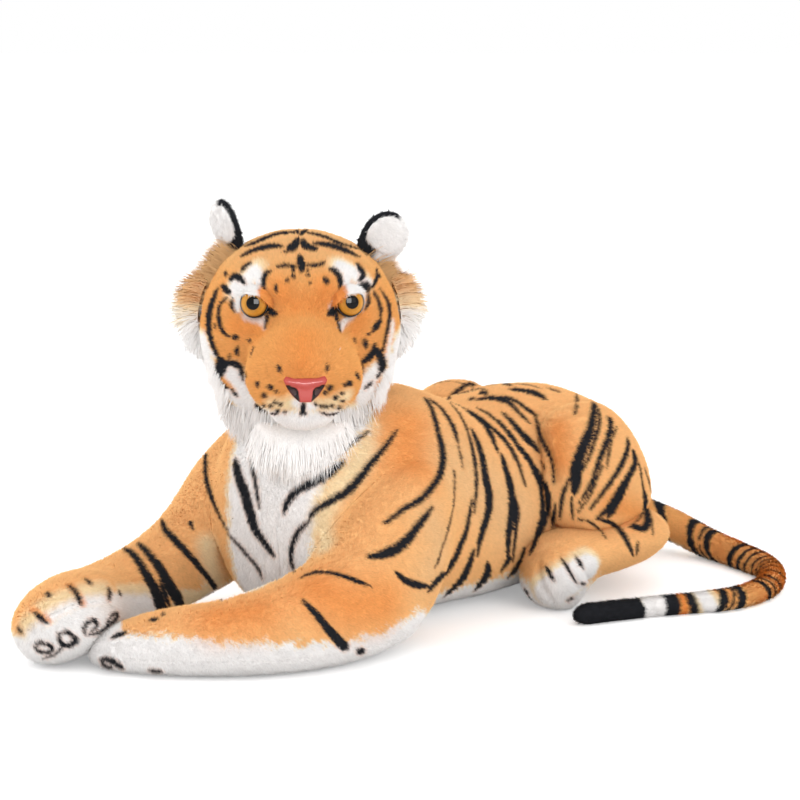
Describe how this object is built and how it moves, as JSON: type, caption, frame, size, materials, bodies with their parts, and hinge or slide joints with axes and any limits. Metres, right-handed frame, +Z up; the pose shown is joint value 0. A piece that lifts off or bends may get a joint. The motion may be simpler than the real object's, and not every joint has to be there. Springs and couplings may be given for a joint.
{
  "type": "plush tiger",
  "caption": "Stuffed plush tiger lying down with its head turned, sewn from fabric panels, with plastic eyes and nose, long-pile ruff and a swinging tail.",
  "frame": {"origin": "on the floor under the middle of the belly, on the body's mid-plane", "axes": "+Z up, the tiger faces -Y, +X to its left"},
  "size_m": [0.2815, 0.5516, 0.2851],
  "materials": {
    "orange_plush": "short pile, dark stripes airbrushed",
    "white_plush": "short pile",
    "black_plush": "short pile",
    "long_pile": "long pile",
    "amber_plastic": "clear, polished",
    "black_plastic": "polished",
    "pink_plastic": "polished",
    "washer_plastic": "moulded"
  },
  "bodies": {
    "body": {"torso": "orange_plush", "belly_panel": "white_plush", "head": "orange_plush", "muzzle": "orange_plush", "chin": "white_plush", "left_cheek_ruff": "long_pile", "right_cheek_ruff": "long_pile", "throat_ruff": "long_pile", "left_eye": "black_plastic", "left_eye_dome": "amber_plastic", "left_eye_washer": "washer_plastic", "right_eye": "black_plastic", "right_eye_dome": "amber_plastic", "right_eye_washer": "washer_plastic", "nose": "pink_plastic", "nose_washer": "washer_plastic", "left_foreleg": "orange_plush", "left_foreleg_sole": "white_plush", "right_foreleg": "orange_plush", "right_foreleg_sole": "white_plush", "left_thigh": "orange_plush", "right_thigh": "orange_plush", "left_hind_leg": "orange_plush", "left_hind_leg_sole": "white_plush", "right_hind_leg": "orange_plush", "right_hind_leg_sole": "white_plush"},
    "tail": {"tail": "orange_plush", "tail_tip": "black_plush"},
    "left_ear": {"left_ear_back": "orange_plush", "left_ear_lining": "white_plush"},
    "right_ear": {"right_ear_back": "orange_plush", "right_ear_lining": "white_plush"}
  },
  "joints": [
    {"name": "tail_swing", "type": "hinge", "parent": "body", "child": "tail", "pos_m": [0, 0.15368, 0.0315], "axis": [0, 0, 1], "range_deg": [-5, 55]},
    {"name": "left_ear_flex", "type": "hinge", "parent": "body", "child": "left_ear", "pos_m": [0.02755, -0.10739, 0.24955], "axis": [0.2232, 0.7985, -0.559], "range_deg": [-20, 20], "stiffness_Nm_per_rad": 0.02},
    {"name": "right_ear_flex", "type": "hinge", "parent": "body", "child": "right_ear", "pos_m": [-0.03196, -0.1754, 0.25476], "axis": [0.9858, -0.1083, 0.1282], "range_deg": [-20, 20], "stiffness_Nm_per_rad": 0.02}
  ]
}
